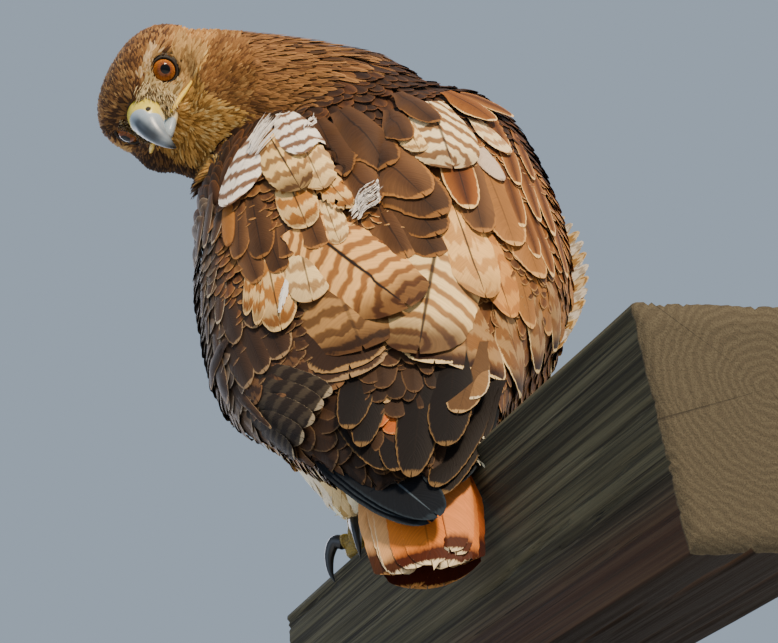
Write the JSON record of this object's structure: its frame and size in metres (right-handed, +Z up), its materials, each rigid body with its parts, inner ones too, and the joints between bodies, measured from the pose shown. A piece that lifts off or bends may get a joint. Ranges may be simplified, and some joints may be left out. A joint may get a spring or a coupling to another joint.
{
  "type": "red tailed hawk model on a timber perch",
  "caption": "Life-size still model of a red tailed hawk looking back over its left shoulder, gripping a short length of squared timber on a plain rod stand.",
  "frame": {"origin": "centre of the underside of the stand's base board", "axes": "+Z up; the bird faces -Y and its left side is +X; the timber runs level from front left to back right"},
  "size_m": [0.4398, 0.4884, 0.6956],
  "materials": {
    "plumage_head": "soft feathers, warm mid brown streaked with tan",
    "plumage_back": "soft feathers, dark brown with tan and cream bars and edges",
    "flight_feathers": "smooth long feathers, blackish brown",
    "tail_feathers": "smooth long feathers, rufous orange with a dark band near the tips",
    "plumage_leg": "loose cream feathers with faint bars",
    "eye": "glossy, orange brown iris with a black pupil",
    "bill": "satin horn, blue grey to black tip, yellow cere",
    "leg_scales": "satin scaled skin, dull yellow",
    "talon": "satin black horn",
    "timber": "weathered grey softwood with long grain cracks",
    "stand_board": "satin dark stain",
    "stand_rod": "brushed"
  },
  "bodies": {
    "root": {"head": "plumage_head", "neck": "plumage_head", "trunk": "plumage_back", "wing_left": "plumage_back", "wing_right": "plumage_back", "primaries_left": "flight_feathers", "primaries_right": "flight_feathers", "tail": "tail_feathers", "thigh_left": "plumage_leg", "thigh_right": "plumage_leg", "eye_left": "eye", "eye_right": "eye", "bill_upper": "bill", "bill_lower": "bill", "shank_left": "leg_scales", "shank_right": "leg_scales", "foot_left": "leg_scales", "foot_right": "leg_scales", "talon_left_inner": "talon", "talon_left_middle": "talon", "talon_left_outer": "talon", "talon_left_hind": "talon", "talon_right_inner": "talon", "talon_right_middle": "talon", "talon_right_outer": "talon", "talon_right_hind": "talon", "perch_timber": "timber", "stand_base": "stand_board", "stand_rod_1": "stand_rod", "stand_rod_2": "stand_rod"}
  },
  "joints": []
}
